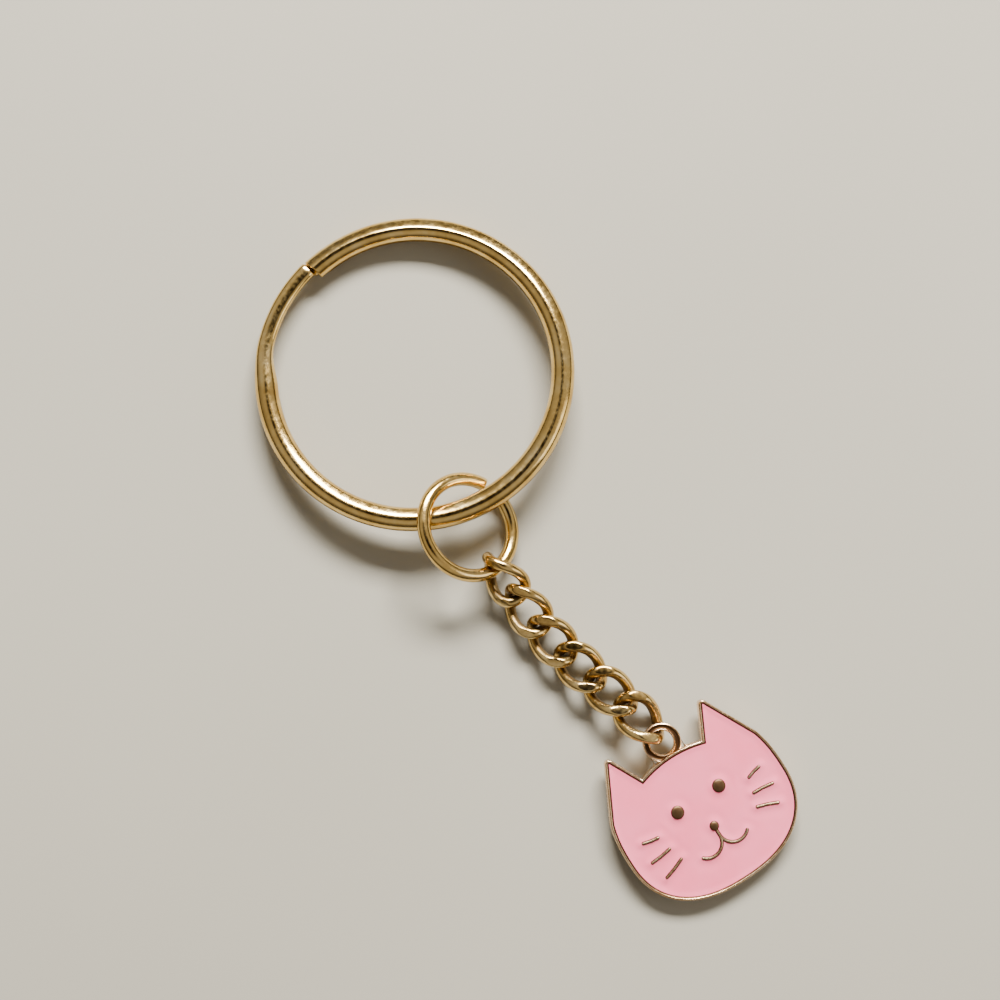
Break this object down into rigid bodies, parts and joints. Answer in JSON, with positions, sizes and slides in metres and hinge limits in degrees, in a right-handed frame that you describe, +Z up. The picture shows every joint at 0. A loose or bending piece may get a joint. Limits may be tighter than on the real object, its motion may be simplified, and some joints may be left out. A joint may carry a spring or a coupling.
{
  "type": "charm key ring",
  "caption": "Split key ring with a jump ring, a short curb chain and a flat cast cat-head charm filled with pink enamel.",
  "frame": {"origin": "on the table, under the centre of the laid-out piece's bounding box", "axes": "+Y from the charm to the split ring, +Z up from the table, +X to the right of the upright charm"},
  "size_m": [0.03, 0.0709, 0.0059],
  "materials": {
    "ring_gold": "polished yellow-gold plating",
    "chain_gold": "polished yellow-gold plating, slightly worn, darker where the links touch",
    "charm_metal": "polished rose-gold plating on a casting",
    "pink_enamel": "glossy soft enamel"
  },
  "bodies": {
    "split_ring": {"split_ring": "ring_gold"},
    "jump_ring": {"jump_ring": "ring_gold"},
    "chain_link_1": {"chain_link_1": "chain_gold"},
    "chain_link_2": {"chain_link_2": "chain_gold"},
    "chain_link_3": {"chain_link_3": "chain_gold"},
    "chain_link_4": {"chain_link_4": "chain_gold"},
    "chain_link_5": {"chain_link_5": "chain_gold"},
    "chain_link_6": {"chain_link_6": "chain_gold"},
    "charm": {"charm_body": "charm_metal", "charm_enamel": "pink_enamel"}
  },
  "joints": [
    {"name": "jump_ring_slide", "type": "hinge", "parent": "split_ring", "child": "jump_ring", "pos_m": [0, 0.0204, 0.00217], "axis": [0, 0.0767, 0.9971], "continuous": true},
    {"name": "link_1_swing", "type": "hinge", "parent": "jump_ring", "child": "chain_link_1", "pos_m": [-0.00352, 0.00083, 0.00233], "axis": [-0.8733, -0.064, 0.483], "range_deg": [-50, 50]},
    {"name": "link_2_swing", "type": "hinge", "parent": "chain_link_1", "child": "chain_link_2", "pos_m": [-0.0031, -0.00266, 0.00187], "axis": [0.9849, 0.1044, -0.138], "range_deg": [-12, 12]},
    {"name": "link_3_swing", "type": "hinge", "parent": "chain_link_2", "child": "chain_link_3", "pos_m": [-0.00301, -0.00513, 0.00163], "axis": [0.4114, 0.0151, 0.9113], "range_deg": [-32, 18]},
    {"name": "link_4_swing", "type": "hinge", "parent": "chain_link_3", "child": "chain_link_4", "pos_m": [-0.0021, -0.00983, 0.0013], "axis": [0.7434, 0.1902, -0.6412], "range_deg": [-20, 30]},
    {"name": "link_5_swing", "type": "hinge", "parent": "chain_link_4", "child": "chain_link_5", "pos_m": [-0.0014, -0.01222, 0.0014], "axis": [0.6497, 0.2824, 0.7058], "range_deg": [-36, 28]},
    {"name": "link_6_swing", "type": "hinge", "parent": "chain_link_5", "child": "chain_link_6", "pos_m": [0.00024, -0.01672, 0.00169], "axis": [0.4738, 0.1156, -0.873], "range_deg": [-36, 22]},
    {"name": "charm_swing", "type": "hinge", "parent": "chain_link_6", "child": "charm", "pos_m": [0.00084, -0.02032, 0.00162], "axis": [0.318, 0.0702, -0.9455], "range_deg": [-16, 22]}
  ]
}
